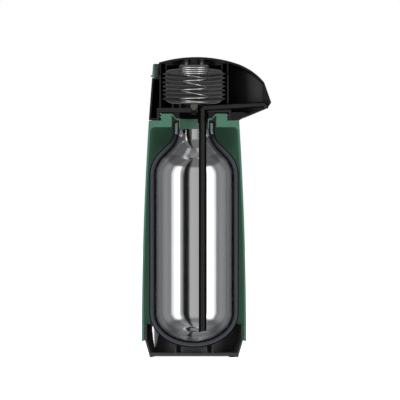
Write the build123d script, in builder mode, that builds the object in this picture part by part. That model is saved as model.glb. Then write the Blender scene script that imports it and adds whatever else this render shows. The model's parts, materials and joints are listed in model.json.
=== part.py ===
"""Pump vacuum flask, shown as a demonstration half: every shell, seal and pipe is cut by the plane y = 0.

Origin on the flask's axis at the plane it stands on. +Z is up, +X is towards the spout, and the kept
half lies on the +Y side. Only the pump's return spring is left whole. Millimetres throughout.
"""

from build123d import *
import os
from math import cos, radians, sin, tan

# --- the cut ---------------------------------------------------------------------------------------
SECTION_ARC = 180  # degrees of every turned piece that the cut leaves

# --- pot: shell and base ---------------------------------------------------------------------------
SHELL_BOTTOM = (67.9, 21.0)
SHELL_MIDDLE = (65.7, 160.2)
SHELL_SHOULDER = (58.8, 307.7)
SHELL_WALL = 2.2
SHOULDER_UNDERSIDE_Z = 299.3
NECK_RING_INNER_R, NECK_RING_OUTER_R, NECK_RING_TOP_Z = 29.1, 42.9, 316.6
FUNNEL_MOUTH_R = 18.4
FUNNEL_WALL = 1.5

THREAD_PITCH = 4.0
NECK_THREAD_DEPTH = 1.7
COLLAR_ROOT_R = 45.2
COLLAR_THREAD_DEPTH = 1.6
BASE_THREAD_DEPTH = 0.9
BASE_SOCKET_R = 65.2  # the shell's inside where the base screws in
BASE_PLUG_R = 63.7

CUP_TOP_Z = 42.0
FLOOR_UNDER_Z, FLOOR_TOP_Z = 1.4, 5.7
RIM_INNER_R, RIM_OUTER_R = 54.2, 57.2
RIB_ANGLES = (30, 60, 90, 120, 150)
RIB_THICKNESS = 1.8
FOOT_R, FOOT_CIRCLE_R = 4.0, 49.4
FOOT_ANGLES = (0, 120)  # the third foot is on the half that is cut away

# --- vacuum liner ----------------------------------------------------------------------------------
GLASS = 1.7
VACUUM_GAP = 4.1
LINER_NECK_R = 27.2
LINER_RIM_Z = 303.25  # where the neck's straight walls meet the rounded rim
NECK_BEND_Z, NECK_BEND_R = 294.4, 24.0
SHOULDER_CENTRE, SHOULDER_R = (16.2, 236.0), 42.0
BULB_R = SHOULDER_CENTRE[0] + SHOULDER_R
BULB_BOTTOM_Z, BULB_BOTTOM_DEPTH = 58.0, 45.5
PUMP_OFF_TIP = (-51.0, 7.0)

# --- head ------------------------------------------------------------------------------------------
HEAD_BOTTOM_Z = 308.5
HEAD_R = 58.8
HEAD_TAPER = 4.37
HEAD_WALL = 2.4
BEAK_CENTRE_X, BEAK_PLAN_R = 79.5, 24.0
APEX = (3.6, 390.3)
CROWN_BACK_R, CROWN_FRONT_R, CROWN_FRONT_ANGLE = 175.7, 163.3, 18.57
BROW_R, BEAK_CORNER = 79.0, (91.4, 357.2)
BEAK_TIP, BEAK_CHIN = (100.5, 331.1), (95.8, 324.2)
BEAK_BELLY, BEAK_THROAT = (76.8, 316.4), (61.9, 310.7)
CROWN_AXIS_Z = 190.0
ABOVE_HEAD_Z = 400.0
BEAK_CAVITY_X = 89.9
SEAM_REAR, SEAM_FRONT = (-56.0, 361.0), (99.0, 329.0)

# --- carry handle ----------------------------------------------------------------------------------
HANDLE_PIVOT = (8.0, 370.0)
HANDLE_BOSS_R = 6.0
HANDLE_INNER_R = 47.6
GRIP_BOTTOM_Z, GRIP_TOP_Z = 364.0, 381.5
HANDLE_CLEARANCE = 0.4
RECESS_WALL = 1.5
RECESS_FLOOR_Z = 363.0
PIN_R, PIN_HEAD_R = 2.4, 4.2

# --- stopper and pump ------------------------------------------------------------------------------
PLATE_BOTTOM_Z, PLATE_TOP_Z = 318.4, 324.0
COLLAR_OUTER_R = 48.2
TUBE_X, TUBE_R, TUBE_BORE_R = 11.2, 5.0, 2.5
TUBE_TOP_Z, TUBE_BOTTOM_Z = 318.0, 33.5
BARREL_R, BARREL_BOTTOM_Z = 6.3, 304.5
CHANNEL_R = 4.0
CHANNEL_START = (TUBE_X, 323.9)
CHANNEL_RISE = 3.3  # degrees
JOINT_X = 61.6
NOZZLE_R, NOZZLE_BORE_R, OUTLET_X, OUTLET_Z = 3.6, 2.3, 93.0, 323.4
WELL_R, WELL_WALL, WELL_TOP_Z = 43.3, 1.6, 367.4

BUTTON_R, BUTTON_GAP, BUTTON_WALL = 31.6, 0.4, 2.2
BUTTON_LIP_R = 35.2
BUTTON_LIP_Z = 379.8
CAP_UNDER_Z, CAP_TOP_Z = 378.2, 380.0
CENTRE_BOSS_R, SCREW_BOSS_R = 4.8, 3.2
SCREW_PLACES = ((-10, 0), (10, 0))
SCREW_R, SCREW_HEAD, SCREW_LENGTH = 1.4, 1.5, 5.2
DECK_UNDER_Z, DECK_TOP_Z = 382.0, 383.5
BELLOWS_R, BELLOWS_ROOT_R, BELLOWS_PITCH, BELLOWS_FOLDS = 41.0, 36.5, 5.35, 7
BELLOWS_TOP_PEAK_Z, BELLOWS_FLOOR_Z = 368.3, 329.6
BELLOWS_NECK_R, BELLOWS_NECK_TOP_Z = 18.6, 379.8
BELLOWS_SKIN = 1.8  # measured across, so the sloping folds are about half as thick
SPRING_WIRE_R, SPRING_R = 0.85, 16.4
SPRING_BOTTOM_Z, SPRING_TOP_Z, SPRING_TURNS = 330.7, 377.2, 6


# === helpers =======================================================================================
def save(piece, name):
    piece.part.label = name
    export_step(piece.part, f"parts/{name}.step")


def radial_plane(angle):
    """Upright plane through the flask's axis, its x axis pointing outwards at the angle."""
    a = radians(angle)
    return Plane(origin=(0, 0, 0), x_dir=(cos(a), sin(a), 0), z_dir=(sin(a), -cos(a), 0))


def outline(*points):
    """A straight-sided outline in the plane of the cut, its points as (x, z)."""
    with BuildSketch(Plane.XZ) as shape:
        with BuildLine():
            Polyline(*points, close=True)
        make_face()
    return shape.sketch


def turn(*points, mode=Mode.ADD):
    """Turn a straight-sided outline of (radius, height) points about the flask's axis."""
    revolve(outline(*points), axis=Axis.Z, revolution_arc=SECTION_ARC, mode=mode)


def ring(inner, outer, bottom, top, mode=Mode.ADD):
    turn((inner, bottom), (outer, bottom), (outer, top), (inner, top), mode=mode)


def cut_in_half():
    """Keep the +Y side of the piece being made."""
    split(bisect_by=Plane.XZ, keep=Keep.BOTTOM)


def thread_ridges(root_r, depth, first_z, count, half_width=1.3, crest=0.3, bite=0.3):
    """The kept half turns of a right-hand thread ridge. A negative depth points inwards."""
    sink = bite if depth > 0 else -bite
    for number in range(count):
        z = first_z + number * THREAD_PITCH
        with BuildLine() as lead:
            Helix(THREAD_PITCH, THREAD_PITCH / 2, root_r, center=(0, 0, z))
        ridge = outline(
            (root_r - sink, z - half_width),
            (root_r, z - half_width),
            (root_r + depth, z - crest),
            (root_r + depth, z + crest),
            (root_r, z + half_width),
            (root_r - sink, z + half_width),
        )
        sweep(ridge, path=lead.line, is_frenet=True)


# === pot ===========================================================================================
def make_body_shell():
    """Green outer shell with the threaded neck ring and the funnel lip that closes over the liner."""
    inner_bottom = (SHELL_BOTTOM[0] - SHELL_WALL, SHELL_BOTTOM[1])
    inner_middle = (SHELL_MIDDLE[0] - SHELL_WALL, SHELL_MIDDLE[1])
    inner_top = (SHELL_SHOULDER[0] - SHELL_WALL, SHOULDER_UNDERSIDE_Z)
    with BuildPart() as body_shell:
        with BuildSketch(Plane.XZ) as section:
            with BuildLine():
                ThreePointArc(SHELL_BOTTOM, SHELL_MIDDLE, SHELL_SHOULDER)
                Polyline(
                    SHELL_SHOULDER,
                    (NECK_RING_OUTER_R, SHELL_SHOULDER[1]),
                    (NECK_RING_OUTER_R, NECK_RING_TOP_Z),
                    (28.3, NECK_RING_TOP_Z),
                    (23.4, 310.4),
                    (FUNNEL_MOUTH_R, 310.0),
                    (FUNNEL_MOUTH_R, 297.2),
                    (FUNNEL_MOUTH_R + 1.0, 297.2),
                    (FUNNEL_MOUTH_R + 1.0, 310.0 - FUNNEL_WALL),
                    (22.9, 310.2 - FUNNEL_WALL),
                    (NECK_RING_INNER_R, 315.0),
                    (NECK_RING_INNER_R, SHOULDER_UNDERSIDE_Z),
                    inner_top,
                )
                ThreePointArc(inner_top, inner_middle, inner_bottom)
                Line(inner_bottom, SHELL_BOTTOM)
            make_face()
            corners = section.vertices()
            fillet(corners.sort_by_distance(inner_top)[0], radius=6)
            fillet(section.vertices().sort_by_distance(SHELL_SHOULDER)[0], radius=1.2)
        revolve(axis=Axis.Z, revolution_arc=SECTION_ARC)
        thread_ridges(NECK_RING_OUTER_R, NECK_THREAD_DEPTH, 310.3, 2)
        ring(BASE_SOCKET_R, 66.4, 21.6, 44.0)
        thread_ridges(BASE_SOCKET_R, -BASE_THREAD_DEPTH, 26.0, 4, half_width=0.9, crest=0.2)
    save(body_shell, "body_shell")


def make_base_cup():
    """Black cup screwed into the shell's foot. Its ribs cradle the liner."""
    with BuildPart() as base_cup:
        turn(
            (RIM_INNER_R, 0), (RIM_OUTER_R, 0), (57.6, 1.2), (63.3, 20.6), (BASE_PLUG_R, 21.4),
            (BASE_PLUG_R, CUP_TOP_Z), (BASE_PLUG_R - 2.1, CUP_TOP_Z), (BASE_PLUG_R - 2.1, 22.6),
            (56.2, FLOOR_TOP_Z), (0, FLOOR_TOP_Z), (0, FLOOR_UNDER_Z), (RIM_INNER_R, FLOOR_UNDER_Z),
        )
        ring(23.0, 25.0, FLOOR_TOP_Z, 13.0)
        thread_ridges(BASE_PLUG_R, BASE_THREAD_DEPTH, 24.0, 4, half_width=0.9, crest=0.2)
        clearance = 1.0
        for angle in RIB_ANGLES:
            with BuildSketch(radial_plane(angle)):
                Polygon((24, 5), (24, 36), (62.4, 36), (62.4, 22.4), (57, 5), align=None)
                with Locations((0, BULB_BOTTOM_Z)):
                    Ellipse(BULB_R + clearance, BULB_BOTTOM_DEPTH + clearance, mode=Mode.SUBTRACT)
            extrude(amount=RIB_THICKNESS / 2, both=True)
    save(base_cup, "base_cup")


def make_rubber_feet():
    """Feet pressed into the base's recess, level with its rim. The front one is cut through."""
    with BuildPart() as rubber_feet:
        with BuildSketch(Plane.XY):
            for angle in FOOT_ANGLES:
                with Locations(radial_plane(angle).x_dir * FOOT_CIRCLE_R):
                    Circle(FOOT_R)
        extrude(amount=FLOOR_UNDER_Z)
        cut_in_half()
    save(rubber_feet, "rubber_feet")


# === vacuum liner ==================================================================================
def bulb_line(inset):
    """One of the liner's four glass surfaces, from the neck down to the bottom, inset from the outermost."""
    neck = LINER_NECK_R - inset
    bend = (LINER_NECK_R + NECK_BEND_R, NECK_BEND_Z)
    bend_r = NECK_BEND_R + inset
    shoulder_r = SHOULDER_R - inset
    diagonal = cos(radians(45))
    Line((neck, LINER_RIM_Z), (neck, NECK_BEND_Z))
    CenterArc(bend, bend_r, 180, 45)
    Line(
        (bend[0] - bend_r * diagonal, bend[1] - bend_r * diagonal),
        (SHOULDER_CENTRE[0] + shoulder_r * diagonal, SHOULDER_CENTRE[1] + shoulder_r * diagonal),
    )
    CenterArc(SHOULDER_CENTRE, shoulder_r, 45, -45)
    Line((BULB_R - inset, SHOULDER_CENTRE[1]), (BULB_R - inset, BULB_BOTTOM_Z))
    EllipticalCenterArc(
        (0, BULB_BOTTOM_Z), BULB_R - inset, BULB_BOTTOM_DEPTH - inset, start_angle=270, arc_size=90
    )


def make_liner_outer():
    """Outer glass wall with the rounded rim over the neck and the sealed pump-off tip low at the back."""
    rim_centre_r = LINER_NECK_R - GLASS - VACUUM_GAP / 2
    rim_outer, rim_inner = GLASS + VACUUM_GAP / 2, VACUUM_GAP / 2
    with BuildPart() as liner_outer:
        with BuildSketch(Plane.XZ.offset(-PUMP_OFF_TIP[1])):
            with BuildLine():
                x = PUMP_OFF_TIP[0]
                Polyline((x, 12.6), (x + 0.9, 13.0), (x + 2.4, 18.0), (x + 3.5, 22.0), (x + 4.5, 28.0))
                Polyline((x + 4.5, 28.0), (x + 6.0, 34.0), (x + 6.0, 46.0), (x, 46.0), (x, 12.6))
            make_face()
        revolve(axis=Axis((PUMP_OFF_TIP[0], PUMP_OFF_TIP[1], 0), (0, 0, 1)))
        with BuildSketch(Plane.XZ):
            with Locations((0, BULB_BOTTOM_Z)):
                Ellipse(BULB_R - GLASS, BULB_BOTTOM_DEPTH - GLASS)
            with Locations((-BULB_R, BULB_BOTTOM_Z)):
                Rectangle(2 * BULB_R, 4 * BULB_R, mode=Mode.SUBTRACT)
        revolve(axis=Axis.Z, mode=Mode.SUBTRACT)
        with BuildSketch(Plane.XZ):
            with BuildLine():
                bulb_line(0)
                bulb_line(GLASS)
                CenterArc((rim_centre_r, LINER_RIM_Z), rim_outer, 0, 180)
                CenterArc((rim_centre_r, LINER_RIM_Z), rim_inner, 0, 180)
                Line((rim_centre_r - rim_outer, LINER_RIM_Z), (rim_centre_r - rim_inner, LINER_RIM_Z))
                bottom = BULB_BOTTOM_Z - BULB_BOTTOM_DEPTH
                Line((0, bottom), (0, bottom + GLASS))
            make_face()
        revolve(axis=Axis.Z, revolution_arc=SECTION_ARC)
    save(liner_outer, "liner_outer")


def make_liner_inner():
    """Inner glass vessel that holds the drink, joined to the outer wall along the rim."""
    inset = GLASS + VACUUM_GAP
    with BuildPart() as liner_inner:
        with BuildSketch(Plane.XZ):
            with BuildLine():
                bulb_line(inset)
                bulb_line(inset + GLASS)
                Line((LINER_NECK_R - inset, LINER_RIM_Z), (LINER_NECK_R - inset - GLASS, LINER_RIM_Z))
                bottom = BULB_BOTTOM_Z - BULB_BOTTOM_DEPTH + inset
                Line((0, bottom), (0, bottom + GLASS))
            make_face()
        revolve(axis=Axis.Z, revolution_arc=SECTION_ARC)
    save(liner_inner, "liner_inner")


def make_liner_spacers():
    """Small pads that keep the two glass walls apart."""
    pad_arc, pad_bottom, pad_top = 10, 62.0, 72.0
    with BuildPart() as liner_spacers:
        for angle in (30, 150):
            with BuildSketch(radial_plane(angle - pad_arc / 2)) as pad:
                with Locations((BULB_R - GLASS - VACUUM_GAP / 2, (pad_bottom + pad_top) / 2)):
                    Rectangle(VACUUM_GAP, pad_top - pad_bottom)
            revolve(pad.sketch, axis=Axis.Z, revolution_arc=pad_arc)
    save(liner_spacers, "liner_spacers")


def make_liner_cushion():
    """Rubber ring that the liner's bottom stands on."""
    with BuildPart() as liner_cushion:
        turn((17.0, FLOOR_TOP_Z), (22.6, FLOOR_TOP_Z), (22.6, 15.9), (17.0, 14.35))
    save(liner_cushion, "liner_cushion")


def make_neck_gasket():
    """Rubber ring between the liner's rim and the shell's funnel lip."""
    rim_centre_r = LINER_NECK_R - GLASS - VACUUM_GAP / 2
    seat_r = GLASS + VACUUM_GAP / 2 + 0.1
    with BuildPart() as neck_gasket:
        with BuildSketch(Plane.XZ):
            with BuildLine():
                Polyline((27.3, 301.5), (28.9, 301.5), (28.9, 309.5), (25.4, 309.5), (22.6, 308.4),
                         (19.8, 308.3), (19.8, LINER_RIM_Z), (27.3, LINER_RIM_Z), (27.3, 301.5))
            make_face()
            with Locations((rim_centre_r, LINER_RIM_Z)):
                Circle(seat_r, mode=Mode.SUBTRACT)
        revolve(axis=Axis.Z, revolution_arc=SECTION_ARC)
    save(neck_gasket, "neck_gasket")


# === head shells ===================================================================================
def head_form(inset):
    """The kept half of the head's outside form with every face drawn in by the inset.

    In plan it is a tapered round lid drawn out to a beak, and its top is crowned both ways.
    """
    top_z = ABOVE_HEAD_Z
    with BuildPart() as form:
        for height in (HEAD_BOTTOM_Z - 8.5, top_z):
            lean = (height - HEAD_BOTTOM_Z) * tan(radians(HEAD_TAPER)) + inset
            with BuildSketch(Plane.XY.offset(height)):
                Circle(HEAD_R - lean)
                with Locations((BEAK_CENTRE_X, 0)):
                    Circle(BEAK_PLAN_R - lean)
                make_hull()
        loft()
        slope = (BEAK_CORNER[0] - BEAK_TIP[0]) / (BEAK_CORNER[1] - BEAK_TIP[1])
        brow_top = (BEAK_TIP[0] + slope * (top_z - BEAK_TIP[1]), top_z)
        with BuildSketch(Plane.XZ) as side:
            with BuildLine():
                Polyline(brow_top, BEAK_TIP, BEAK_CHIN)
                ThreePointArc(BEAK_CHIN, BEAK_BELLY, BEAK_THROAT)
                Polyline(BEAK_THROAT, (59.0, HEAD_BOTTOM_Z), (-75, HEAD_BOTTOM_Z), (-75, top_z), brow_top)
            make_face()
            if inset:
                offset(amount=-inset, kind=Kind.INTERSECTION)
        extrude(side.sketch, amount=80, both=True, mode=Mode.INTERSECT)
        with BuildSketch(Plane.XZ) as crown:
            with BuildLine():
                lean = radians(CROWN_FRONT_ANGLE)
                front_z = APEX[1] - CROWN_FRONT_R
                brow = CROWN_FRONT_R - BROW_R
                brow_centre = (APEX[0] + brow * sin(lean), front_z + brow * cos(lean))
                back = CenterArc((APEX[0], APEX[1] - CROWN_BACK_R), CROWN_BACK_R - inset, 90, 25)
                CenterArc((APEX[0], front_z), CROWN_FRONT_R - inset, 90, -CROWN_FRONT_ANGLE)
                nose = CenterArc(brow_centre, BROW_R - inset, 90 - CROWN_FRONT_ANGLE, -55)
                nose_end, back_end = nose @ 1, back @ 1
                Polyline(nose_end, (nose_end.X, 250), (back_end.X, 250), back_end)
            make_face()
        revolve(crown.sketch, axis=Axis((0, 0, CROWN_AXIS_Z), (-1, 0, 0)), mode=Mode.INTERSECT)
        cut_in_half()
    return form.part


def seam_plane():
    """The slanting plane where the cover sits on the housing."""
    run, rise = SEAM_FRONT[0] - SEAM_REAR[0], SEAM_FRONT[1] - SEAM_REAR[1]
    return Plane(origin=(SEAM_REAR[0], 0, SEAM_REAR[1]), x_dir=(run, 0, rise), z_dir=(-rise, 0, run))


def handle_space(wall):
    """Room that the handle lies and swings in, grown by the thickness of the wall around it."""
    inner_r = HANDLE_INNER_R - HANDLE_CLEARANCE - wall
    reach, low, high = 90, 60, 175
    front_x = 18.5 + wall
    pivot = Axis((HANDLE_PIVOT[0], 0, HANDLE_PIVOT[1]), (0, 1, 0))
    with BuildPart() as space:
        with BuildSketch(Plane.XY.offset(HANDLE_PIVOT[1])) as plan:
            with Locations((HANDLE_PIVOT[0] - reach / 2, reach / 2)):
                Rectangle(reach, reach)
            Circle(inner_r, mode=Mode.SUBTRACT)
        revolve(plan.sketch, axis=pivot, revolution_arc=high)
        revolve(plan.sketch, axis=pivot, revolution_arc=-low)
        with BuildSketch(Plane.XZ.offset(-inner_r + 0.3)):
            with Locations(HANDLE_PIVOT):
                Circle(HANDLE_BOSS_R + 0.6 + wall)
        extrude(amount=-40)
        with BuildSketch(Plane.XY.offset(RECESS_FLOOR_Z - wall)):
            with Locations((front_x - 200, 0)):
                Rectangle(400, 400)
        extrude(amount=120, mode=Mode.INTERSECT)
    return space.part


def make_head_housing(outside, inside):
    """Lower half of the head: skirt, underside of the beak and the web under the outflow channel."""
    with BuildPart() as head_housing:
        add(outside)
        add(inside, mode=Mode.SUBTRACT)
        with BuildSketch(Plane.XY.offset(HEAD_BOTTOM_Z - 1)):
            Circle(COLLAR_OUTER_R + 0.3)
        extrude(amount=HEAD_WALL + 2, mode=Mode.SUBTRACT)
        split(bisect_by=seam_plane(), keep=Keep.BOTTOM)
        with BuildSketch(Plane.XZ):
            with BuildLine():
                Polyline(
                    (48.6, 309.2), (62.0, 311.8), (72.0, 315.6), (64.0, 318.4), (48.6, 318.4), close=True
                )
            make_face()
        extrude(amount=-2.0)
        with BuildSketch(Plane.XY.offset(BEAK_CHIN[1] - 8)):
            with Locations((OUTLET_X, 0)):
                Circle(NOZZLE_R + 0.2)
        extrude(amount=12, mode=Mode.SUBTRACT)
    save(head_housing, "head_housing")


def make_head_cover(outside, inside):
    """Upper half of the head: crown, beak and handle recess, with the ring that holds the button."""
    with BuildPart() as cavity:
        add(inside)
        add(handle_space(RECESS_WALL), mode=Mode.SUBTRACT)
        with BuildSketch(Plane.YZ.offset(BEAK_CAVITY_X)):
            with Locations((0, 350)):
                Rectangle(200, 200)
        extrude(amount=40, mode=Mode.SUBTRACT)
        with BuildSketch(Plane.XY.offset(320)):
            with Locations((BEAK_CAVITY_X, 0)):
                Rectangle(14, 10)
        extrude(amount=14)
    with BuildPart() as skin:
        add(outside)
        add(handle_space(0), mode=Mode.SUBTRACT)
        add(cavity.part, mode=Mode.SUBTRACT)
        split(bisect_by=seam_plane(), keep=Keep.TOP)
    with BuildPart() as head_cover:
        ring(35.6, 37.2, 373.4, DECK_TOP_Z)
        ring(43.0, 44.6, 368.7, DECK_TOP_Z)
        ring(BUTTON_R, 44.6, DECK_UNDER_Z, DECK_TOP_Z + 1.5)
        add(outside, mode=Mode.INTERSECT)
        add(skin.part)
        ring(0, BUTTON_R + BUTTON_GAP, WELL_TOP_Z, ABOVE_HEAD_Z, mode=Mode.SUBTRACT)
        with BuildSketch(Plane.XZ.offset(-40)):
            with Locations(HANDLE_PIVOT):
                Circle(PIN_R + 0.1)
        extrude(amount=-12, mode=Mode.SUBTRACT)
        cut_in_half()
    save(head_cover, "head_cover")


def make_carry_handle(outside):
    """Green bail handle that lies in the recess round the back of the head."""
    pivot = Axis((HANDLE_PIVOT[0], 0, HANDLE_PIVOT[1]), (0, 1, 0))
    with BuildPart() as carry_handle:
        with BuildSketch(Plane.XY.offset(HANDLE_PIVOT[1])) as plan:
            with Locations((HANDLE_PIVOT[0] - 50, 50)):
                Rectangle(100, 100)
            Circle(HANDLE_INNER_R, mode=Mode.SUBTRACT)
        revolve(plan.sketch, axis=pivot, revolution_arc=80)
        revolve(plan.sketch, axis=pivot, revolution_arc=-60)
        with BuildSketch(Plane.XZ.offset(-HANDLE_INNER_R)):
            with Locations(HANDLE_PIVOT):
                Circle(HANDLE_BOSS_R)
        extrude(amount=-20)
        with BuildSketch(Plane.XZ):
            with Locations(HANDLE_PIVOT):
                Circle(HANDLE_BOSS_R)
            with Locations((-45, (GRIP_BOTTOM_Z + GRIP_TOP_Z) / 2)):
                Rectangle(50, GRIP_TOP_Z - GRIP_BOTTOM_Z)
            make_hull()
        extrude(amount=-80, mode=Mode.INTERSECT)
        add(outside, mode=Mode.INTERSECT)
        with BuildSketch(Plane.XY.offset(GRIP_BOTTOM_Z + 0.8)):
            Circle(56.2)
            Circle(52.0, mode=Mode.SUBTRACT)
            with Locations((-86, 50)):
                Rectangle(100, 100, mode=Mode.INTERSECT)
        extrude(amount=1.8)
        with BuildSketch(Plane.XZ.offset(-40)):
            with Locations(HANDLE_PIVOT):
                Circle(PIN_R + 0.4)
        extrude(amount=-20, mode=Mode.SUBTRACT)
        with BuildSketch(Plane.XZ.offset(-50.9)):
            with Locations(HANDLE_PIVOT):
                Circle(PIN_HEAD_R + 0.4)
        extrude(amount=-10, mode=Mode.SUBTRACT)
    save(carry_handle, "carry_handle")


def make_handle_pin():
    """Headed pin that the handle's arm turns on, fixed in the cover's wall."""
    with BuildPart() as handle_pin:
        with BuildSketch(Plane.XZ.offset(-45.2)):
            with Locations(HANDLE_PIVOT):
                Circle(PIN_R)
        extrude(amount=-7)
        with BuildSketch(Plane.XZ.offset(-51.3)):
            with Locations(HANDLE_PIVOT):
                Circle(PIN_HEAD_R)
        extrude(amount=-1.6)
    save(handle_pin, "handle_pin")


# === stopper, outflow and pump =====================================================================
def channel_plane(x):
    """Plane across the outflow channel where it passes the given x, facing the spout."""
    rise = radians(CHANNEL_RISE)
    z = CHANNEL_START[1] + (x - CHANNEL_START[0]) * tan(rise)
    return Plane(origin=(x, 0, z), x_dir=(0, 1, 0), z_dir=(cos(rise), 0, sin(rise)))


def make_stopper_plate():
    """Plate and threaded collar that screw onto the flask's neck, with ring ribs for the pump to sit on."""
    with BuildPart() as stopper_plate:
        ring(0, COLLAR_OUTER_R, PLATE_BOTTOM_Z, PLATE_TOP_Z)
        ring(COLLAR_ROOT_R, COLLAR_OUTER_R, HEAD_BOTTOM_Z, PLATE_BOTTOM_Z)
        thread_ridges(COLLAR_ROOT_R, -COLLAR_THREAD_DEPTH, 312.3, 1)
        ring(17.4, 19.4, PLATE_TOP_Z, 329.0)
        ring(26.9, 28.6, PLATE_TOP_Z, 329.0)
        with BuildSketch(Plane.XY.offset(PLATE_BOTTOM_Z - 5)):
            Circle(3.4)
            with Locations((TUBE_X, 0)):
                Circle(BARREL_R + 0.1)
        extrude(amount=20, mode=Mode.SUBTRACT)
        with BuildSketch(channel_plane(TUBE_X)):
            Circle(CHANNEL_R + 0.1)
        extrude(amount=60, mode=Mode.SUBTRACT)
        cut_in_half()
    save(stopper_plate, "stopper_plate")


def make_stopper_seal():
    """Soft ring that closes the funnel lip when the head is screwed down."""
    with BuildPart() as stopper_seal:
        turn((18.9, 318.1), (18.9, 310.6), (19.5, 310.45), (23.0, 310.85), (26.5, 315.1), (26.5, 318.1))
    save(stopper_seal, "stopper_seal")


def make_outflow_channel():
    """Barrel over the dip tube's top and the channel that climbs from it to the beak."""
    length = (JOINT_X - TUBE_X) / cos(radians(CHANNEL_RISE))
    with BuildPart() as outflow_channel:
        with BuildSketch(Plane.XY.offset(BARREL_BOTTOM_Z)):
            with Locations((TUBE_X, 0)):
                Circle(BARREL_R)
        extrude(amount=CHANNEL_START[1] + 3.2 - BARREL_BOTTOM_Z)
        with BuildSketch(channel_plane(TUBE_X)):
            Circle(CHANNEL_R)
        extrude(amount=length)
        with BuildSketch(channel_plane(TUBE_X)):
            Circle(TUBE_BORE_R)
        extrude(amount=length, mode=Mode.SUBTRACT)
        with BuildSketch(Plane.XY.offset(BARREL_BOTTOM_Z)):
            with Locations((TUBE_X, 0)):
                Circle(TUBE_R + 0.05)
        extrude(amount=TUBE_TOP_Z - BARREL_BOTTOM_Z, mode=Mode.SUBTRACT)
        with BuildSketch(Plane.XY.offset(TUBE_TOP_Z)):
            with Locations((TUBE_X, 0)):
                Circle(TUBE_BORE_R)
        extrude(amount=CHANNEL_START[1] - TUBE_TOP_Z, mode=Mode.SUBTRACT)
        cut_in_half()
    save(outflow_channel, "outflow_channel")


def make_dip_tube():
    """Straight pipe that reaches nearly to the bottom of the liner, its foot cut on a slant."""
    with BuildPart() as dip_tube:
        with BuildSketch(Plane.XY.offset(TUBE_BOTTOM_Z - 5)):
            with Locations((TUBE_X, 0)):
                Circle(TUBE_R)
                Circle(TUBE_BORE_R, mode=Mode.SUBTRACT)
        extrude(amount=TUBE_TOP_Z - TUBE_BOTTOM_Z + 5)
        slant = Plane(origin=(TUBE_X, 0, TUBE_BOTTOM_Z), x_dir=(1, 0, 0.2), z_dir=(-0.2, 0, 1))
        split(bisect_by=slant, keep=Keep.TOP)
        cut_in_half()
    save(dip_tube, "dip_tube")


def make_channel_seal():
    """Rubber sleeve where the channel meets the nozzle."""
    with BuildPart() as channel_seal:
        with BuildSketch(channel_plane(JOINT_X - 2.0)):
            Circle(CHANNEL_R + 1.4)
            Circle(CHANNEL_R + 0.05, mode=Mode.SUBTRACT)
        extrude(amount=4)
        cut_in_half()
    save(channel_seal, "channel_seal")


def make_spout_nozzle():
    """Nozzle pipe from the channel to the outlet under the beak's tip."""
    start = channel_plane(JOINT_X + 0.1)
    elbow = channel_plane(OUTLET_X).origin
    with BuildPart() as spout_nozzle:
        for size, mode in ((NOZZLE_R, Mode.ADD), (NOZZLE_BORE_R, Mode.SUBTRACT)):
            with BuildLine() as route:
                FilletPolyline(start.origin, elbow, (OUTLET_X, 0, OUTLET_Z), radius=3.9)
            with BuildSketch(start):
                Circle(size)
            sweep(path=route.line, mode=mode)
        cut_in_half()
    save(spout_nozzle, "spout_nozzle")


def make_pump_well():
    """Round wall that the bellows works in, notched where the channel passes under it."""
    with BuildPart() as pump_well:
        ring(WELL_R, WELL_R + WELL_WALL, PLATE_TOP_Z, WELL_TOP_Z)
        with BuildSketch(Plane.YZ.offset(30)):
            with Locations((0, 326)):
                Rectangle(11, 9.4)
        extrude(amount=30, mode=Mode.SUBTRACT)
    save(pump_well, "pump_well")


def make_bellows():
    """Folded air pump of soft plastic: neck, seven folds and a flat floor with an air hole."""
    half = BELLOWS_PITCH / 2
    folds = []
    for number in range(BELLOWS_FOLDS):
        z = BELLOWS_TOP_PEAK_Z - number * BELLOWS_PITCH
        folds.append((BELLOWS_R, z))
        if number < BELLOWS_FOLDS - 1:
            folds.append((BELLOWS_ROOT_R, z - half))
    neck_in = BELLOWS_NECK_R - 1.2
    outer = [(BELLOWS_NECK_R, BELLOWS_NECK_TOP_Z), (BELLOWS_NECK_R, 375.2), (35.5, 372.6), *folds]
    outer += [(37.0, 332.2), (31.0, BELLOWS_FLOOR_Z), (15.0, BELLOWS_FLOOR_Z)]
    inner = [(15.0, BELLOWS_FLOOR_Z + 1.0), (30.4, BELLOWS_FLOOR_Z + 1.0), (35.6, 332.9)]
    inner += [(r - BELLOWS_SKIN, z) for r, z in reversed(folds)]
    inner += [(35.0, 371.4), (neck_in, 374.0), (neck_in, BELLOWS_NECK_TOP_Z)]
    with BuildPart() as bellows:
        turn(*outer, *inner)
    save(bellows, "bellows")


def make_spring():
    """Return spring inside the bellows, left whole."""
    height = SPRING_TOP_Z - SPRING_BOTTOM_Z - 2 * SPRING_WIRE_R
    with BuildPart() as return_spring:
        with BuildLine() as coil:
            Helix(height / SPRING_TURNS, height, SPRING_R, center=(0, 0, SPRING_BOTTOM_Z + SPRING_WIRE_R))
        with BuildSketch(Plane(origin=coil.line @ 0, z_dir=coil.line % 0)):
            Circle(SPRING_WIRE_R)
        sweep(path=coil.line, is_frenet=True)
    save(return_spring, "return_spring")


def make_bellows_cap():
    """Disc that closes the bellows' neck and takes the button's screws."""
    with BuildPart() as bellows_cap:
        ring(0, BELLOWS_NECK_R - 1.3, CAP_UNDER_Z, CAP_TOP_Z)
        with BuildSketch(Plane.XY.offset(CAP_UNDER_Z)):
            with Locations(*SCREW_PLACES):
                Circle(SCREW_R + 0.2)
        extrude(amount=CAP_TOP_Z - CAP_UNDER_Z, mode=Mode.SUBTRACT)
        cut_in_half()
    save(bellows_cap, "bellows_cap")


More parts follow.
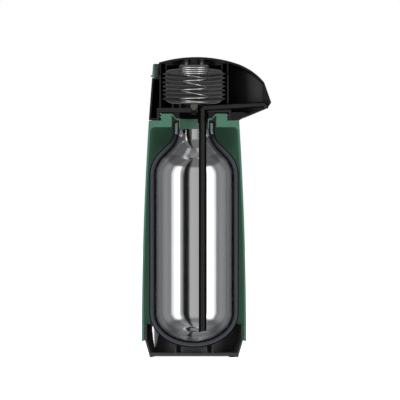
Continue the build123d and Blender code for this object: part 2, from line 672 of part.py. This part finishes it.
def make_push_button(outside, under_dome):
    """Round push button that carries on the head's crown, with a lip under the cover's ring."""
    with BuildPart() as hollow:
        ring(0, BUTTON_R - BUTTON_WALL, BELLOWS_TOP_PEAK_Z, ABOVE_HEAD_Z)
        add(under_dome, mode=Mode.INTERSECT)
    with BuildPart() as push_button:
        ring(0, BUTTON_R, BUTTON_LIP_Z, ABOVE_HEAD_Z)
        add(outside, mode=Mode.INTERSECT)
        add(hollow.part, mode=Mode.SUBTRACT)
        ring(BUTTON_R - BUTTON_WALL, BUTTON_LIP_R, BUTTON_LIP_Z, BUTTON_LIP_Z + 1.6)
        with BuildSketch(Plane.XY.offset(CAP_TOP_Z + 0.1)):
            Circle(CENTRE_BOSS_R)
            with Locations(*SCREW_PLACES):
                Circle(SCREW_BOSS_R)
                Circle(SCREW_R + 0.1, mode=Mode.SUBTRACT)
        extrude(amount=8.0)
        cut_in_half()
    save(push_button, "push_button")


def make_button_screws():
    """Two screws through the bellows cap into the button's bosses, cut along their middles."""
    with BuildPart() as button_screws:
        with BuildSketch(Plane.XY.offset(CAP_UNDER_Z - 0.1 - SCREW_HEAD)):
            with Locations(*SCREW_PLACES):
                Circle(2 * SCREW_R)
        extrude(amount=SCREW_HEAD)
        with BuildSketch(Plane.XY.offset(CAP_UNDER_Z - 0.1)):
            with Locations(*SCREW_PLACES):
                Circle(SCREW_R)
        extrude(amount=SCREW_LENGTH)
        cut_in_half()
    save(button_screws, "button_screws")


def make_air_valve():
    """Silicone mushroom valve that lets air into the flask past the stopper plate."""
    with BuildPart() as air_valve:
        turn(
            (0, 315.4), (3.0, 315.4), (3.8, 316.2), (2.9, 316.9), (2.9, 324.3), (4.4, 324.3),
            (4.4, 328.2), (3.8, 328.8), (0, 328.8),
        )
    save(air_valve, "air_valve")


os.makedirs("parts", exist_ok=True)

make_body_shell()
make_base_cup()
make_rubber_feet()
make_liner_outer()
make_liner_inner()
make_liner_spacers()
make_liner_cushion()
make_neck_gasket()

head_outside = head_form(0)
head_inside = head_form(HEAD_WALL)
make_head_housing(head_outside, head_inside)
make_head_cover(head_outside, head_inside)
make_carry_handle(head_outside)
make_handle_pin()
make_push_button(head_outside, head_inside)

make_stopper_plate()
make_stopper_seal()
make_outflow_channel()
make_dip_tube()
make_channel_seal()
make_spout_nozzle()
make_pump_well()
make_bellows()
make_spring()
make_bellows_cap()
make_button_screws()
make_air_valve()
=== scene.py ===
"""The looks of the pump vacuum flask's cut half: studio, materials, and its bellows and spring as meshes."""

import json
import math

import bmesh
import bpy
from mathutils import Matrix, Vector


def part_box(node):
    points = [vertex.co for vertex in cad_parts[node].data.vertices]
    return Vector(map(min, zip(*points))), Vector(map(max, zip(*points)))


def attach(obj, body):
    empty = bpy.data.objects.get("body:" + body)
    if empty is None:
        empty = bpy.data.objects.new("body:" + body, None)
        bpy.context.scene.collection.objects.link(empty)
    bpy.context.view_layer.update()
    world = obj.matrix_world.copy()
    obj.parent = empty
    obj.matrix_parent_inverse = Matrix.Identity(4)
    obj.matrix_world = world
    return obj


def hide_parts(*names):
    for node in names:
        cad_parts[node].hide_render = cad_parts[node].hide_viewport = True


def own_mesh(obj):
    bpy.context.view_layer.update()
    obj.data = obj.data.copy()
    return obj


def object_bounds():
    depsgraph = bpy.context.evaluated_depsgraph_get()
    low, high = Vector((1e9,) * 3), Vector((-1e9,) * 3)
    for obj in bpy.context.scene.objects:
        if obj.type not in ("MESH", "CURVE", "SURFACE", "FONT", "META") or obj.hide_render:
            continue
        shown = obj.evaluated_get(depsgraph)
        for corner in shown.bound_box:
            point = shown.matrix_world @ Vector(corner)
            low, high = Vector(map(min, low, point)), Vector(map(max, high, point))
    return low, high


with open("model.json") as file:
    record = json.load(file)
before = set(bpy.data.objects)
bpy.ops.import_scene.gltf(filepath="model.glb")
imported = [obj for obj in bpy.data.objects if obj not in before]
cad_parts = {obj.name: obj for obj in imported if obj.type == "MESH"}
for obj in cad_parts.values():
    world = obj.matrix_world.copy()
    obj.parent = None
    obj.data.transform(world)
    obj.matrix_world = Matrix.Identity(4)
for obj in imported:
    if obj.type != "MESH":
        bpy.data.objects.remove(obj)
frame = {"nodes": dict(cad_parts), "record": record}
nodes = frame["nodes"]
cad_low, cad_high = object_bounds()
scene = bpy.context.scene

MM = 0.001
CUT_DEPTH = 0.05 * MM  # how near y = 0 a face lies when the cut made it
CUT_FACING = -0.9  # and its normal's y is less than this
PAINTED_GLOW_AND_SHADE_FADES = (0.245, 0.280)  # the heights between which the painted light and a metal's painted shade lining fade, at the shoulder

# noise: how many patches to a metre, and how far they are drawn out along x, y and z (less is longer)
PATCH_SCALE, STREAK = 38.0, (1.0, 1.0, 0.06)
SAW_SCALE, SAW_STRETCH = 2600.0, (0.02, 1.0, 1.0)
RIPPLE_SCALE, RIPPLE_STRETCH = 22.0, (1.0, 1.0, 0.35)
GRAIN_DEPTH, RIPPLE_DEPTH = 0.05 * MM, 1.0 * MM
SAW_SHADE, WEAR = 0.07, 0.15  # how far the saw's marks change the colour, and wear the roughness


# === nodes of a material ===========================================================================
def add(tree, kind, inputs=None, **settings):
    """A shader node with its settings, and its inputs by name: a value, or another node's output."""
    made = tree.nodes.new("ShaderNode" + kind)
    for name, value in settings.items():
        setattr(made, name, value)
    for name, value in (inputs or {}).items():
        if isinstance(value, bpy.types.NodeSocket):
            tree.links.new(value, made.inputs[name])
        else:
            made.inputs[name].default_value = value
    return made


def maths(tree, operation, first, second=0.0):
    return add(tree, "Math", {0: first, 1: second}, operation=operation).outputs[0]


def between(tree, share, low, high):
    """A number that goes from low to high as share goes from 0 to 1."""
    return add(tree, "MapRange", {"Value": share, "To Min": low, "To Max": high}).outputs["Result"]


def colour_mix(tree, share, first, second):
    """The first colour where share is 0 and the second where it is 1."""
    made = add(tree, "Mix", data_type="RGBA")
    for socket, value in ((made.inputs[0], share), (made.inputs[6], first), (made.inputs[7], second)):
        if isinstance(value, bpy.types.NodeSocket):
            tree.links.new(value, socket)
        else:
            socket.default_value = (*value, 1.0) if isinstance(value, tuple) else value
    return made.outputs[2]


def noise(tree, place, scale, detail=3.0, stretch=None):
    if stretch:
        place = add(tree, "Mapping", {"Vector": place, "Scale": stretch}).outputs["Vector"]
    return add(tree, "TexNoise", {"Vector": place, "Scale": scale, "Detail": detail}).outputs["Fac"]


def cut_mask(tree, coordinates):
    """1 on the faces that the cut made, and 0 on all others."""
    place = add(tree, "SeparateXYZ", {"Vector": coordinates.outputs["Object"]})
    facing = add(tree, "SeparateXYZ", {"Vector": coordinates.outputs["Normal"]})
    near = maths(tree, "LESS_THAN", maths(tree, "ABSOLUTE", place.outputs["Y"]), CUT_DEPTH)
    front = maths(tree, "LESS_THAN", facing.outputs["Y"], CUT_FACING)
    return maths(tree, "MULTIPLY", near, front)


def inside_mask(tree, coordinates):
    """1 on the faces that look towards the flask's upright axis, and 0 on all others."""
    place = coordinates.outputs["Object"]
    flat = add(tree, "VectorMath", {0: place, 1: (1.0, 1.0, 0.0)}, operation="MULTIPLY")
    outwards = add(tree, "VectorMath", {0: flat.outputs[0], 1: coordinates.outputs["Normal"]},
                   operation="DOT_PRODUCT")
    return maths(tree, "LESS_THAN", outwards.outputs["Value"], 0.0)


def scaled(colour, share):
    return tuple(channel * share for channel in colour)


def height_fade(tree, place, share_above):
    """1 below the shoulder, falling to share_above over it."""
    height = add(tree, "SeparateXYZ", {"Vector": place}).outputs["Z"]
    low, high = PAINTED_GLOW_AND_SHADE_FADES
    return add(tree, "MapRange", {"Value": height, "From Min": low, "From Max": high,
                                  "To Min": 1.0, "To Max": share_above}).outputs["Result"]


def material(name, surface, cut, roughness=0.45, cut_roughness=0.5, grain_mm=0.5, grain=0.12, mottle=0.12,
             metal=False, ripple=0.0, gloss=0.5, streaks=False, painted_glow=None, painted_glow_above=0.0, painted_shade_lining=None,
             cut_fades=None):
    """A moulded, blown or drawn material whose cut faces have their own colour.

    The surface gets a mottled colour and roughness, a fine moulding grain and, with ripple, the slow waves
    of blown glass. The cut faces get the straight marks of the saw. An emission on the inside faces only is
    painted light, standing in for the daylight that the wall lets in; it fades to a given share over the
    shoulder. A lining colour is painted shade: it gives the inside a darker matt colour of its own, on a
    metal only below the shoulder. cut_fades is an axis, where the cut's colour starts to change along it and
    where it has changed, and the colour that it changes to.
    """
    made = bpy.data.materials.new(name)
    made.use_nodes = True
    tree = made.node_tree
    shader = tree.nodes["Principled BSDF"]
    coordinates = add(tree, "TexCoord")
    place = coordinates.outputs["Object"]
    is_cut = cut_mask(tree, coordinates)
    is_inside = inside_mask(tree, coordinates)
    # where the painted shade goes: the inside, on a metal only below the shoulder
    is_painted_shade = maths(tree, "MULTIPLY", is_inside, height_fade(tree, place, 0.0)) if metal else is_inside
    stretch = STREAK if streaks else None
    patches = noise(tree, place, PATCH_SCALE, 4.0, stretch)
    grains = noise(tree, place, 1.0 / (grain_mm * MM), 2.0, stretch)
    saw_marks = noise(tree, place, SAW_SCALE, 1.0, SAW_STRETCH)

    mottled = colour_mix(tree, patches, scaled(surface, 1 - mottle), scaled(surface, 1 + mottle))
    # painted shade: the inside takes its darker lining colour
    if painted_shade_lining:
        mottled = colour_mix(tree, is_painted_shade, mottled, painted_shade_lining)
    sawn = colour_mix(tree, saw_marks, scaled(cut, 1 - SAW_SHADE), scaled(cut, 1 + SAW_SHADE))
    if cut_fades:
        axis, start, end, other = cut_fades
        along = add(tree, "SeparateXYZ", {"Vector": place}).outputs[axis]
        share = add(tree, "MapRange", {"Value": along, "From Min": start, "From Max": end}).outputs["Result"]
        sawn = colour_mix(tree, share, sawn, other)
    tree.links.new(colour_mix(tree, is_cut, mottled, sawn), shader.inputs["Base Color"])

    worn = between(tree, patches, roughness * (1 - WEAR), roughness * (1 + WEAR))
    rough = add(tree, "Mix", {0: is_cut, 2: worn, 3: cut_roughness}).outputs[0]
    tree.links.new(rough, shader.inputs["Roughness"])
    if metal:
        bare = maths(tree, "SUBTRACT", 1.0, is_cut)
        # and no metal where the painted shade lies
        if painted_shade_lining:
            bare = maths(tree, "MULTIPLY", bare, maths(tree, "SUBTRACT", 1.0, is_painted_shade))
        tree.links.new(bare, shader.inputs["Metallic"])
    shader.inputs["Specular IOR Level"].default_value = gloss
    # painted light: an emission on the inside faces but not the cut, standing in for daylight that the wall
    # lets in, weaker over the shoulder
    if painted_glow:
        through = maths(tree, "MULTIPLY", is_inside, maths(tree, "SUBTRACT", 1.0, is_cut))
        through = maths(tree, "MULTIPLY", through, height_fade(tree, place, painted_glow_above))
        tree.links.new(colour_mix(tree, through, (0.0, 0.0, 0.0), painted_glow), shader.inputs["Emission Color"])
        shader.inputs["Emission Strength"].default_value = 1.0

    relief = add(tree, "Mix", {0: is_cut, 2: grains, 3: saw_marks}).outputs[0]
    bump = add(tree, "Bump", {"Strength": grain, "Distance": GRAIN_DEPTH, "Height": relief})
    if ripple:
        waves = noise(tree, place, RIPPLE_SCALE, 1.0, RIPPLE_STRETCH)
        slow = add(tree, "Bump", {"Strength": ripple, "Distance": RIPPLE_DEPTH, "Height": waves})
        tree.links.new(slow.outputs["Normal"], bump.inputs["Normal"])
    tree.links.new(bump.outputs["Normal"], shader.inputs["Normal"])
    return made


GREEN = (0.085, 0.190, 0.135)
GREEN_CUT = (0.045, 0.145, 0.095)
# a darker copy of the green for the shell's inside: painted shade
GREEN_PAINTED_SHADE = (0.050, 0.110, 0.075)
BLACK = (0.006, 0.006, 0.007)
BLACK_CUT = (0.005, 0.005, 0.005)
DARK_GREY = (0.012, 0.011, 0.012)
DARK_GREY_CUT = (0.018, 0.015, 0.016)
SILVER = (0.605, 0.61, 0.62)
GLASS_CUT = (0.003, 0.003, 0.006)

looks = {
    # the shell's inside has painted shade, a darker green, and painted light, an emission that weakens over
    # the shoulder
    "green_shell": material("green_shell", GREEN, GREEN_CUT, 0.42, 0.6, grain_mm=0.7, grain=0.2, mottle=0.05,
                            painted_glow=(0.022, 0.049, 0.033), painted_glow_above=0.45, painted_shade_lining=GREEN_PAINTED_SHADE),
    "green_grip": material("green_grip", GREEN, GREEN_CUT, 0.42, 0.6, grain_mm=0.7, grain=0.2, mottle=0.05,
                           cut_fades=("X", -0.0525, -0.0505, (0.018, 0.027, 0.022))),
    "black_housing": material("black_housing", BLACK, BLACK_CUT, 0.38, 0.6, gloss=0.3),
    "black_button": material("black_button", (0.035, 0.035, 0.036), BLACK_CUT, 0.38, 0.6, gloss=0.3),
    "black_base": material("black_base", (0.030, 0.030, 0.030), (0.035, 0.035, 0.035), 0.45, 0.6, gloss=0.3),
    "pump_plastic": material("pump_plastic", DARK_GREY, DARK_GREY_CUT, 0.5, 0.6, gloss=0.2),
    "pipe_plastic": material("pipe_plastic", (0.030, 0.030, 0.030), (0.001, 0.001, 0.001), 0.5, 0.5,
                             gloss=0.03),
    "bellows_plastic": material("bellows_plastic", (0.125, 0.125, 0.126), (0.070, 0.070, 0.071), 0.42, 0.5),
    "cap_plastic": material("cap_plastic", (0.05, 0.05, 0.05), (0.09, 0.09, 0.09), 0.45, 0.5, gloss=0.2),
    "silvered_glass": material("silvered_glass", SILVER, GLASS_CUT, 0.11, 0.2, grain=0.0, mottle=0.03,
                               metal=True, ripple=0.03, gloss=0.1),
    # the outer glass's inside has painted shade, a dark matt lining below the shoulder, and painted light, an
    # emission fading out over it
    "satin_glass": material("satin_glass", (0.70, 0.71, 0.74), GLASS_CUT, 0.14, 0.2, grain=0.0, mottle=0.03,
                            metal=True, gloss=0.1, painted_glow=(0.044, 0.046, 0.052), painted_shade_lining=(0.05, 0.05, 0.055)),
    "black_rubber": material("black_rubber", (0.15, 0.15, 0.15), (0.003, 0.003, 0.003), 0.75, 0.8,
                             grain=0.3, gloss=0.05),
    "gasket_rubber": material("gasket_rubber", (0.03, 0.02, 0.014), (0.024, 0.018, 0.013), 0.75, 0.8,
                              gloss=0.1),
    "stopper_rubber": material("stopper_rubber", (0.002, 0.002, 0.003), (0.012, 0.010, 0.011), 0.7, 0.8,
                               gloss=0.1),
    # its cut darkens to near black lower down: painted shade, of the hole in the plate that its stem goes
    # down
    "valve_silicone": material("valve_silicone", (0.10, 0.09, 0.06), (0.07, 0.068, 0.052), 0.5, 0.6,
                               gloss=0.2, cut_fades=("Z", 0.3222, 0.3208, (0.003, 0.003, 0.003))),
    "spacer_pad": material("spacer_pad", (0.30, 0.30, 0.29), (0.30, 0.30, 0.29), 0.9, 0.9, grain=0.6),
    "spring_steel": material("spring_steel", (0.95, 0.95, 0.96), (0.5, 0.5, 0.5), 0.38, 0.3, grain=0.02,
                             mottle=0.05, metal=True, streaks=True),
    "plated_steel": material("plated_steel", (0.30, 0.30, 0.29), (0.10, 0.10, 0.10), 0.4, 0.5, grain=0.08,
                             mottle=0.08, metal=True, gloss=0.3),
}

# where a node's look differs from its slot's
own_looks = {"base_cup": "black_base", "liner_outer": "satin_glass", "bellows_cap": "cap_plastic",
             "carry_handle": "green_grip", "push_button": "black_button"}
for part in frame["record"]["subparts"]:
    shown = nodes[part["node"]]
    shown.data.materials.clear()
    shown.data.materials.append(looks[own_looks.get(part["node"], part["material_slot"])])


# === bellows =======================================================================================
ROUND_STEPS = 96  # faces round the kept half


def half_turned(name, outside, inside):
    """A wall between two lines of (radius, height) points, turned half way round the axis, ends capped."""
    outline = outside + inside[::-1]
    mesh = bmesh.new()
    columns = []
    for step in range(ROUND_STEPS + 1):
        angle = math.pi * step / ROUND_STEPS
        # the ends lie exactly in the plane of the cut
        across = 0.0 if step in (0, ROUND_STEPS) else math.sin(angle)
        columns.append([mesh.verts.new((r * math.cos(angle), r * across, z)) for r, z in outline])
    count = len(outline)
    for left, right in zip(columns, columns[1:]):
        for i in range(count):
            j = (i + 1) % count
            mesh.faces.new((left[i], left[j], right[j], right[i]))
    for end in (columns[0], columns[-1]):
        for i in range(len(outside) - 1):
            mesh.faces.new((end[i], end[i + 1], end[count - 2 - i], end[count - 1 - i]))
    bmesh.ops.recalc_face_normals(mesh, faces=mesh.faces)
    data = bpy.data.meshes.new(name)
    mesh.to_mesh(data)
    mesh.free()
    made = bpy.data.objects.new(name, data)
    scene.collection.objects.link(made)
    return made


def press_down(made):
    """The piece gets its own copy of its mesh."""
    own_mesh(made)


def make_bellows():
    """The folded pump: a thin half-turned wall, open at its neck and round the hole in its floor."""
    low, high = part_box("bellows")
    peak_r = high.x
    root_r, skin = peak_r - 5.2 * MM, 0.6 * MM
    neck_r, neck_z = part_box("bellows_cap")[1].x + 1.3 * MM, high.z - 4.6 * MM
    floor_z = low.z
    folds, pitch = 7, 5.35 * MM
    top_peak_z = high.z - 11.5 * MM
    samples, floor_hole_r = 10, 15.0 * MM

    def wall(inset):
        """Heights and radii down the wall: neck, rounded shoulder, folds with soft ridges, and the bowl."""
        line = [(neck_r - inset, high.z), (neck_r - inset, neck_z + 0.6 * MM),
                (neck_r + 0.8 * MM - inset * 0.4, neck_z - inset)]
        line.append((root_r - 4.0 * MM, top_peak_z + pitch * 1.02 - inset))
        line.append((root_r + 0.4 * MM, top_peak_z + pitch * 0.72 - inset))
        steps = int((folds - 0.5) * samples)
        for step in range(-samples // 4, steps + 1):
            turn = step / samples
            # sharp ridges outside and rounded creases inside; share is 0 at a ridge and 1 in a crease
            share = abs(2 * (turn - math.floor(turn + 0.5)))
            radius = peak_r - (peak_r - root_r) * math.sin(share * math.pi / 2)
            line.append((radius - inset, top_peak_z - turn * pitch))
        line.append((root_r - 2.6 * MM - inset * 0.6, floor_z + 1.6 * MM + inset * 0.8))
        line.append((root_r - 8.0 * MM - inset * 0.3, floor_z + inset))
        line.append((floor_hole_r, floor_z + inset))
        return line

    made = half_turned("bellows_folds", wall(0.0), wall(skin))
    made.data.materials.append(looks["bellows_plastic"])
    for face in made.data.polygons:
        face.use_smooth = face.center.y > CUT_DEPTH
    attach(made, "head")
    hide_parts("bellows")
    press_down(made)
    return made


# === return spring =================================================================================
# how high over its foot, and how far from the axis, the wire passes the front on each turn, in millimetres
SPRING_PASSES = ((0.0, 17.8), (4.9, 18.5), (16.5, 16.3), (28.1, 14.5), (36.9, 15.6),
                 (39.6, 16.9), (42.0, 16.9), (44.6, 16.9))


def pass_value(turn, column):
    """Height or radius of the spring at a turn, smooth through its passes and flat at both ends."""
    last = len(SPRING_PASSES) - 1
    number = min(last - 1, max(0, math.floor(turn)))
    share = min(1.0, max(0.0, turn - number))

    def value(at):
        return SPRING_PASSES[min(last, max(0, at))][column]

    def slope(at):
        return (value(at + 1) - value(at - 1)) / 2 if 0 < at < last else 0.0

    start, end = value(number), value(number + 1)
    square, cube = share ** 2, share ** 3
    smooth = start * (2 * cube - 3 * square + 1) + end * (3 * square - 2 * cube)
    smooth += slope(number) * (cube - 2 * square + share) + slope(number + 1) * (cube - square)
    return smooth * MM


def make_spring():
    """A waisted compression spring: a low turn at its foot, three open turns, and three close ones above."""
    low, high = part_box("return_spring")
    wire_r, lift = 0.68 * MM, 0.3 * MM
    lean, back_rise = 0.6, 0.22  # shares of a turn's climb: moved from its front to its back, added behind
    steps_per_turn = 40
    first, last = -0.3, len(SPRING_PASSES) - 0.7
    points = []
    for step in range(int((last - first) * steps_per_turn) + 1):
        turn = first + step / steps_per_turn
        radius, height = pass_value(turn, 1), pass_value(turn, 0)
        # each turn climbs less in front and more behind, as in a spring that leans a little
        climb = pass_value(turn + 0.5, 0) - pass_value(turn - 0.5, 0)
        height -= lean * climb * math.sin(2 * math.pi * turn) / (2 * math.pi)
        height += back_rise / 2 * climb * (1 - math.cos(2 * math.pi * turn))
        angle = 2 * math.pi * (turn - 0.25)
        points.append((radius * math.cos(angle), radius * math.sin(angle), low.z + lift + height))
    curve = bpy.data.curves.new("spring_line", "CURVE")
    curve.dimensions = "3D"
    line = curve.splines.new("POLY")
    line.points.add(len(points) - 1)
    for point, place in zip(line.points, points):
        point.co = (*place, 1.0)
    curve.bevel_depth = wire_r
    curve.bevel_resolution = 4
    curve.use_fill_caps = True
    drawn = bpy.data.objects.new("spring_line", curve)
    scene.collection.objects.link(drawn)
    bpy.context.view_layer.update()
    data = bpy.data.meshes.new_from_object(drawn.evaluated_get(bpy.context.evaluated_depsgraph_get()))
    bpy.data.objects.remove(drawn)
    data.name = "spring_coils"
    data.materials.clear()
    data.materials.append(looks["spring_steel"])
    for face in data.polygons:
        face.use_smooth = True
    made = bpy.data.objects.new("spring_coils", data)
    scene.collection.objects.link(made)
    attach(made, "head")
    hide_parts("return_spring")
    press_down(made)
    return made


make_bellows()
make_spring()


# === studio ========================================================================================
def ramp(tree, value, stops, smooth=True):
    """A colour ramp in greys, from (position, brightness) stops."""
    made = add(tree, "ValToRGB", {"Fac": value})
    made.color_ramp.interpolation = "EASE" if smooth else "LINEAR"
    for number, (position, brightness) in enumerate(stops):
        if number < 2:
            stop = made.color_ramp.elements[number]
            stop.position = position
        else:
            stop = made.color_ramp.elements.new(position)
        stop.color = (brightness, brightness, brightness, 1.0)
    return made.outputs["Color"]


STRIP = 2.2  # brightness of the two tall soft boxes in front
PLAIN = 0.55  # the least brightness of the room in a reflection of a reflection, where it hides the dark flag


def make_world():
    """A white studio. What is reflected is a soft room with tall soft boxes, two behind, and a dark flag.

    The front pair are the brightest. A ray that has been reflected more than once sees the room without the
    flag, and the room fades out towards its floor and top.
    """
    world = bpy.data.worlds.new("studio")
    scene.world = world
    world.use_nodes = True
    tree = world.node_tree
    backdrop = tree.nodes["Background"]
    backdrop.inputs["Color"].default_value = (1, 1, 1, 1)
    backdrop.inputs["Strength"].default_value = 1.0
    direction = add(tree, "SeparateXYZ", {"Vector": add(tree, "TexCoord").outputs["Generated"]})
    towards_x, towards_y = direction.outputs["X"], maths(tree, "MULTIPLY", direction.outputs["Y"], -1.0)
    azimuth = maths(tree, "ARCTAN2", towards_x, towards_y)
    round_share = maths(tree, "ADD", maths(tree, "DIVIDE", azimuth, 2 * math.pi), 0.5)

    def at(degrees, brightness):
        return degrees / 360 + 0.5, brightness / STRIP

    # degrees from the front towards +X, and how bright the room is there
    room = ramp(tree, round_share, [
        at(-180, 0.45), at(-152, 0.50),
        at(-136, 1.60), at(-118, 1.60),  # soft box behind on the left
        at(-100, 0.65), at(-66, 0.22),
        at(-62, STRIP), at(-41, STRIP),  # tall soft box on the left
        at(-37, 0.30), at(-14, 0.60), at(12, 0.68),
        at(20, 0.12), at(27, 0.08),  # dark flag
        at(35, 0.46), at(41, 0.58),
        at(45, STRIP), at(62, STRIP),  # tall soft box on the right
        at(66, 0.22), at(100, 0.65),
        at(120, 1.30), at(138, 1.30),  # soft box behind on the right
        at(154, 0.50),
    ])
    height = direction.outputs["Z"]
    up_share = maths(tree, "ADD", maths(tree, "DIVIDE", height, 2.0), 0.5)

    def up(sine):
        return sine / 2 + 0.5

    ends = ramp(tree, up_share, [(up(-0.68), 0.0), (up(-0.55), 1.0), (up(0.45), 1.0), (up(0.70), 0.0)])
    floor_and_top = ramp(tree, up_share, [(0.0, 0.25 / STRIP), (up(-0.5), 0.25 / STRIP),
                                          (up(0.7), 0.28 / STRIP), (1.0, 0.50 / STRIP)])
    path = add(tree, "LightPath")
    again = maths(tree, "GREATER_THAN", path.outputs["Glossy Depth"], 1.5)
    dim = colour_mix(tree, maths(tree, "LESS_THAN", room, PLAIN / STRIP), room, (PLAIN / STRIP,) * 3)
    seen = colour_mix(tree, ends, floor_and_top, colour_mix(tree, again, room, dim))
    lit = add(tree, "Background", {"Color": seen, "Strength": STRIP})
    both = add(tree, "MixShader", {0: path.outputs["Is Camera Ray"]})
    tree.links.new(lit.outputs[0], both.inputs[1])
    tree.links.new(backdrop.outputs[0], both.inputs[2])
    tree.links.new(both.outputs[0], tree.nodes["World Output"].inputs["Surface"])


def make_floor():
    """A plain white floor that glows a little, so that only a faint contact shadow shows."""
    mesh = bpy.data.meshes.new("floor")
    side = 6.0
    corners = [(-side, -side, 0), (side, -side, 0), (side, side, 0), (-side, side, 0)]
    mesh.from_pydata(corners, [], [(0, 1, 2, 3)])
    floor = bpy.data.objects.new("floor", mesh)
    scene.collection.objects.link(floor)
    floor.location.z = cad_low.z - 0.1 * MM
    floor.visible_glossy = False
    paint = bpy.data.materials.new("floor_white")
    paint.use_nodes = True
    shader = paint.node_tree.nodes["Principled BSDF"]
    shader.inputs["Base Color"].default_value = (0.85, 0.85, 0.85, 1)
    shader.inputs["Roughness"].default_value = 0.9
    shader.inputs["Specular IOR Level"].default_value = 0.0
    shader.inputs["Emission Color"].default_value = (1, 1, 1, 1)
    shader.inputs["Emission Strength"].default_value = 0.8
    mesh.materials.append(paint)


def make_key_light():
    """A soft key above and in front, kept out of glossy reflections, so it gives no shine."""
    light = bpy.data.lights.new("key", "AREA")
    light.shape = "RECTANGLE"
    light.size, light.size_y = 0.9, 0.5
    light.energy = 9.0
    lamp = bpy.data.objects.new("key", light)
    scene.collection.objects.link(lamp)
    lamp.location = (-0.45, -1.3, 1.35)
    aim = Vector((0.0, 0.0, 0.28)) - lamp.location
    lamp.rotation_euler = aim.to_track_quat("-Z", "Y").to_euler()
    lamp.visible_camera = False
    lamp.visible_glossy = False


def make_camera():
    """Level with the middle of the flask and square to the cut, from far off with a long lens."""
    view_width, lens, sensor = 0.52, 200.0, 36.0
    camera = bpy.data.cameras.new("camera")
    camera.lens, camera.sensor_width = lens, sensor
    camera.clip_end = 60.0
    eye = bpy.data.objects.new("camera", camera)
    scene.collection.objects.link(eye)
    eye.location = (0.0078, -view_width * lens / sensor, 0.2044)
    eye.rotation_euler = (math.radians(90), 0, 0)
    scene.camera = eye


scene.view_settings.view_transform = "Standard"
make_world()
make_floor()
make_key_light()
make_camera()
